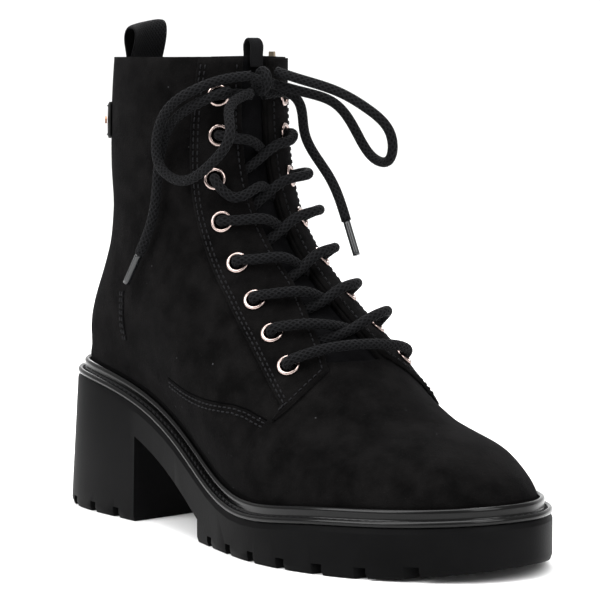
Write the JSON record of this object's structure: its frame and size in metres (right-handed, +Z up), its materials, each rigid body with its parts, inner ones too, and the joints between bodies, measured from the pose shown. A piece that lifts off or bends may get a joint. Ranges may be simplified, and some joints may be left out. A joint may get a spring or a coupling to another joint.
{
  "type": "lace-up ankle boot",
  "caption": "Right lace-up ankle boot with a hollow suede upper, tongue, facings with eyelets, block heel and lugged platform sole.",
  "frame": {"origin": "middle of the sole's length and width, on the floor that the boot stands on", "axes": "+Z up, -Y towards the toe, +X to the medial (inner) side of this right boot"},
  "size_m": [0.1023, 0.264, 0.2105],
  "materials": {
    "rubber": "satin",
    "rand": "gloss",
    "sock": "matt",
    "suede": "matt",
    "tongue_cloth": "matt",
    "nickel": "satin",
    "lace": "matt",
    "aglet": "gloss",
    "webbing": "matt",
    "tag_leather": "satin",
    "copper_stud": "satin",
    "zip_tape": "matt",
    "antique_brass": "satin"
  },
  "bodies": {
    "boot": {"outsole": "rubber", "welt": "rand", "insole": "sock", "upper": "suede", "tongue": "tongue_cloth", "facing_lateral": "suede", "facing_medial": "suede", "eyelet_lateral_1": "nickel", "eyelet_lateral_2": "nickel", "eyelet_lateral_3": "nickel", "eyelet_lateral_4": "nickel", "eyelet_lateral_5": "nickel", "eyelet_lateral_6": "nickel", "eyelet_lateral_7": "nickel", "eyelet_lateral_8": "nickel", "eyelet_medial_1": "nickel", "eyelet_medial_2": "nickel", "eyelet_medial_3": "nickel", "eyelet_medial_4": "nickel", "eyelet_medial_5": "nickel", "eyelet_medial_6": "nickel", "eyelet_medial_7": "nickel", "eyelet_medial_8": "nickel", "lace_crossing_2": "lace", "lace_crossing_3": "lace", "lace_crossing_4": "lace", "lace_crossing_5": "lace", "lace_crossing_6": "lace", "lace_crossing_7": "lace", "lace_bar": "lace", "lace_lateral_1": "lace", "lace_medial_1": "lace", "lace_knot": "lace", "lace_loop_left": "lace", "lace_loop_right": "lace", "lace_end_left": "lace", "lace_end_right": "lace", "aglet_left": "aglet", "aglet_right": "aglet", "pull_loop": "webbing", "tongue_tab": "webbing", "back_tag": "tag_leather", "stud_lateral": "copper_stud", "stud_medial": "copper_stud", "zip_chain": "zip_tape", "zip_slider": "antique_brass"},
    "pull_tab": {"zip_pull": "antique_brass"}
  },
  "joints": [
    {"name": "zip_pull_hinge", "type": "hinge", "parent": "boot", "child": "pull_tab", "pos_m": [0.03904, 0.054, 0.18379], "axis": [0, 1, 0], "range_deg": [0, 170]}
  ]
}
